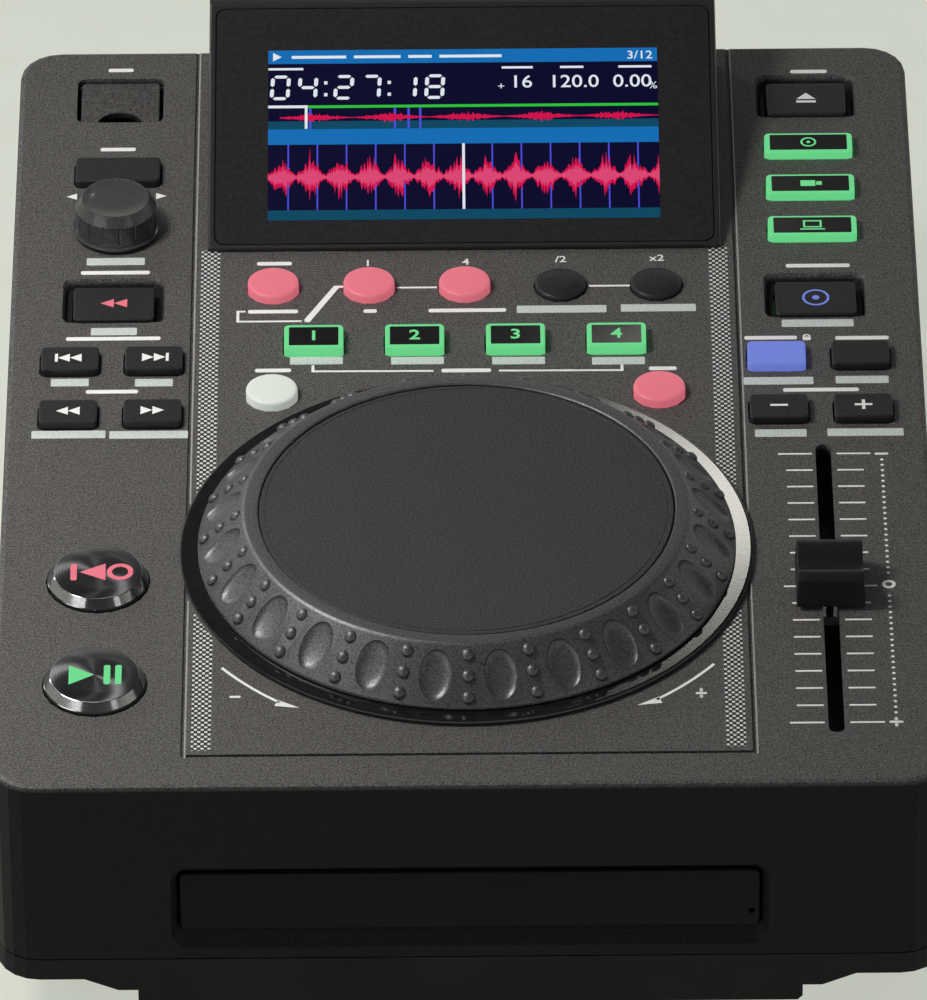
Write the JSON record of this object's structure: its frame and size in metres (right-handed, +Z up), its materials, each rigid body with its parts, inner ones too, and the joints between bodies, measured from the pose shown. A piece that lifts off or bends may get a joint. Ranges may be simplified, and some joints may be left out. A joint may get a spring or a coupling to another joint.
{
  "type": "tabletop dj cd player",
  "caption": "Tabletop disc player with a big jog wheel, sloping colour screen, lit keys, pitch fader and sliding disc tray.",
  "frame": {"origin": "on the table, below the middle of the case", "axes": "+X to the player's right, +Y to the back, +Z up"},
  "size_m": [0.218, 0.294, 0.0991],
  "materials": {
    "deck_paint": "fine textured charcoal",
    "black_plastic": "moulded satin",
    "gloss_black": "polished",
    "window_glass": "smoked clear window",
    "screen": "lit screen",
    "wheel_paint": "satin metallic paint",
    "board": "solder mask",
    "bright_steel": "plain",
    "black_sheet": "powder coat",
    "foot_rubber": "moulded",
    "spun_metal": "spun, dark, polished edge",
    "key_rubber": "moulded satin",
    "lit_red": "lit translucent",
    "lit_white": "lit translucent",
    "lit_green": "lit translucent",
    "lit_violet": "lit translucent"
  },
  "bodies": {
    "case": {"top_case": "deck_paint", "bottom_case": "black_plastic", "display_housing": "black_plastic", "display_window": "window_glass", "screen_panel": "screen", "jog_base": "gloss_black", "jog_spindle": "bright_steel", "control_board": "board", "encoder_body": "black_plastic", "pitch_fader_body": "bright_steel", "usb_socket": "bright_steel", "drive_frame": "bright_steel", "rear_panel": "black_sheet", "audio_sockets": "black_plastic", "usb_rear_socket": "bright_steel", "mains_inlet": "black_plastic", "foot_front_left": "foot_rubber", "foot_front_right": "foot_rubber", "foot_rear_left": "foot_rubber", "foot_rear_right": "foot_rubber"},
    "button_play": {"button_play": "spun_metal"},
    "button_cue": {"button_cue": "spun_metal"},
    "button_search_back": {"button_search_back": "key_rubber"},
    "button_search_forward": {"button_search_forward": "key_rubber"},
    "button_track_prev": {"button_track_prev": "key_rubber"},
    "button_track_next": {"button_track_next": "key_rubber"},
    "button_back": {"button_back": "key_rubber"},
    "button_bend_minus": {"button_bend_minus": "key_rubber"},
    "button_bend_plus": {"button_bend_plus": "key_rubber"},
    "button_key_lock": {"button_key_lock": "lit_violet"},
    "button_tap": {"button_tap": "key_rubber"},
    "button_reverse": {"button_reverse": "key_rubber"},
    "button_jog_mode": {"button_jog_mode": "key_rubber"},
    "button_eject": {"button_eject": "key_rubber"},
    "button_source_computer": {"button_source_computer": "key_rubber"},
    "button_source_stick": {"button_source_stick": "key_rubber"},
    "button_source_disc": {"button_source_disc": "key_rubber"},
    "button_loop_auto": {"button_loop_auto": "lit_red"},
    "button_loop_in": {"button_loop_in": "lit_red"},
    "button_loop_out": {"button_loop_out": "lit_red"},
    "button_loop_half": {"button_loop_half": "key_rubber"},
    "button_loop_double": {"button_loop_double": "key_rubber"},
    "button_hot_1": {"button_hot_1": "lit_green"},
    "button_hot_2": {"button_hot_2": "lit_green"},
    "button_hot_3": {"button_hot_3": "lit_green"},
    "button_hot_4": {"button_hot_4": "lit_green"},
    "button_shift": {"button_shift": "lit_white"},
    "button_slip": {"button_slip": "lit_red"},
    "jog": {"jog_wheel": "wheel_paint", "jog_top_plate": "black_plastic"},
    "encoder_shaft": {"encoder_shaft": "bright_steel"},
    "browse_knob": {"browse_knob": "black_plastic"},
    "pitch_fader": {"pitch_fader_cap": "black_plastic", "pitch_fader_lever": "bright_steel"},
    "usb_door": {"usb_door": "black_plastic"},
    "disc_drawer": {"disc_tray": "black_plastic", "tray_door": "black_plastic"},
    "turntable": {"disc_turntable": "black_plastic"},
    "laser": {"laser_sled": "bright_steel"},
    "rocker": {"power_rocker": "black_plastic"}
  },
  "joints": [
    {"name": "button_play_press", "type": "slide", "parent": "case", "child": "button_play", "axis": [0, 0, -1], "range_m": [0, 0.0008], "stiffness_N_per_m": 300},
    {"name": "button_cue_press", "type": "slide", "parent": "case", "child": "button_cue", "axis": [0, 0, -1], "range_m": [0, 0.0008], "stiffness_N_per_m": 300},
    {"name": "button_search_back_press", "type": "slide", "parent": "case", "child": "button_search_back", "axis": [0, 0, -1], "range_m": [0, 0.0008], "stiffness_N_per_m": 300},
    {"name": "button_search_forward_press", "type": "slide", "parent": "case", "child": "button_search_forward", "axis": [0, 0, -1], "range_m": [0, 0.0008], "stiffness_N_per_m": 300},
    {"name": "button_track_prev_press", "type": "slide", "parent": "case", "child": "button_track_prev", "axis": [0, 0, -1], "range_m": [0, 0.0008], "stiffness_N_per_m": 300},
    {"name": "button_track_next_press", "type": "slide", "parent": "case", "child": "button_track_next", "axis": [0, 0, -1], "range_m": [0, 0.0008], "stiffness_N_per_m": 300},
    {"name": "button_back_press", "type": "slide", "parent": "case", "child": "button_back", "axis": [0, 0, -1], "range_m": [0, 0.0008], "stiffness_N_per_m": 300},
    {"name": "button_bend_minus_press", "type": "slide", "parent": "case", "child": "button_bend_minus", "axis": [0, 0, -1], "range_m": [0, 0.0008], "stiffness_N_per_m": 300},
    {"name": "button_bend_plus_press", "type": "slide", "parent": "case", "child": "button_bend_plus", "axis": [0, 0, -1], "range_m": [0, 0.0008], "stiffness_N_per_m": 300},
    {"name": "button_key_lock_press", "type": "slide", "parent": "case", "child": "button_key_lock", "axis": [0, 0, -1], "range_m": [0, 0.0008], "stiffness_N_per_m": 300},
    {"name": "button_tap_press", "type": "slide", "parent": "case", "child": "button_tap", "axis": [0, 0, -1], "range_m": [0, 0.0008], "stiffness_N_per_m": 300},
    {"name": "button_reverse_press", "type": "slide", "parent": "case", "child": "button_reverse", "axis": [0, 0, -1], "range_m": [0, 0.0008], "stiffness_N_per_m": 300},
    {"name": "button_jog_mode_press", "type": "slide", "parent": "case", "child": "button_jog_mode", "axis": [0, 0, -1], "range_m": [0, 0.0008], "stiffness_N_per_m": 300},
    {"name": "button_eject_press", "type": "slide", "parent": "case", "child": "button_eject", "axis": [0, 0, -1], "range_m": [0, 0.0008], "stiffness_N_per_m": 300},
    {"name": "button_source_computer_press", "type": "slide", "parent": "case", "child": "button_source_computer", "axis": [0, 0, -1], "range_m": [0, 0.0008], "stiffness_N_per_m": 300},
    {"name": "button_source_stick_press", "type": "slide", "parent": "case", "child": "button_source_stick", "axis": [0, 0, -1], "range_m": [0, 0.0008], "stiffness_N_per_m": 300},
    {"name": "button_source_disc_press", "type": "slide", "parent": "case", "child": "button_source_disc", "axis": [0, 0, -1], "range_m": [0, 0.0008], "stiffness_N_per_m": 300},
    {"name": "button_loop_auto_press", "type": "slide", "parent": "case", "child": "button_loop_auto", "axis": [0, 0, -1], "range_m": [0, 0.0008], "stiffness_N_per_m": 300},
    {"name": "button_loop_in_press", "type": "slide", "parent": "case", "child": "button_loop_in", "axis": [0, 0, -1], "range_m": [0, 0.0008], "stiffness_N_per_m": 300},
    {"name": "button_loop_out_press", "type": "slide", "parent": "case", "child": "button_loop_out", "axis": [0, 0, -1], "range_m": [0, 0.0008], "stiffness_N_per_m": 300},
    {"name": "button_loop_half_press", "type": "slide", "parent": "case", "child": "button_loop_half", "axis": [0, 0, -1], "range_m": [0, 0.0008], "stiffness_N_per_m": 300},
    {"name": "button_loop_double_press", "type": "slide", "parent": "case", "child": "button_loop_double", "axis": [0, 0, -1], "range_m": [0, 0.0008], "stiffness_N_per_m": 300},
    {"name": "button_hot_1_press", "type": "slide", "parent": "case", "child": "button_hot_1", "axis": [0, 0, -1], "range_m": [0, 0.0008], "stiffness_N_per_m": 300},
    {"name": "button_hot_2_press", "type": "slide", "parent": "case", "child": "button_hot_2", "axis": [0, 0, -1], "range_m": [0, 0.0008], "stiffness_N_per_m": 300},
    {"name": "button_hot_3_press", "type": "slide", "parent": "case", "child": "button_hot_3", "axis": [0, 0, -1], "range_m": [0, 0.0008], "stiffness_N_per_m": 300},
    {"name": "button_hot_4_press", "type": "slide", "parent": "case", "child": "button_hot_4", "axis": [0, 0, -1], "range_m": [0, 0.0008], "stiffness_N_per_m": 300},
    {"name": "button_shift_press", "type": "slide", "parent": "case", "child": "button_shift", "axis": [0, 0, -1], "range_m": [0, 0.0008], "stiffness_N_per_m": 300},
    {"name": "button_slip_press", "type": "slide", "parent": "case", "child": "button_slip", "axis": [0, 0, -1], "range_m": [0, 0.0008], "stiffness_N_per_m": 300},
    {"name": "jog_spin", "type": "hinge", "parent": "case", "child": "jog", "pos_m": [0, -0.05848, 0.078], "axis": [0, 0, 1], "continuous": true},
    {"name": "browse_push", "type": "slide", "parent": "case", "child": "encoder_shaft", "axis": [0, 0, -1], "range_m": [0, 0.0008], "stiffness_N_per_m": 400},
    {"name": "browse_turn", "type": "hinge", "parent": "encoder_shaft", "child": "browse_knob", "pos_m": [-0.0842, 0.07102, 0.078], "axis": [0, 0, 1], "continuous": true},
    {"name": "pitch_slide", "type": "slide", "parent": "case", "child": "pitch_fader", "axis": [0, 1, 0], "range_m": [-0.05, 0.05]},
    {"name": "usb_door_hinge", "type": "hinge", "parent": "case", "child": "usb_door", "pos_m": [-0.0842, 0.13357, 0.0762], "axis": [-1, 0, 0], "range_deg": [0, 100]},
    {"name": "tray_slide", "type": "slide", "parent": "case", "child": "disc_drawer", "axis": [0, -1, 0], "range_m": [0, 0.128]},
    {"name": "disc_spin", "type": "hinge", "parent": "case", "child": "turntable", "pos_m": [0, -0.07548, 0.03615], "axis": [0, 0, 1], "continuous": true},
    {"name": "laser_travel", "type": "slide", "parent": "case", "child": "laser", "axis": [0, 1, 0], "range_m": [0, 0.034]},
    {"name": "rocker_tip", "type": "hinge", "parent": "case", "child": "rocker", "pos_m": [-0.03, 0.13698, 0.045], "axis": [1, 0, 0], "range_deg": [-7, 7]}
  ]
}
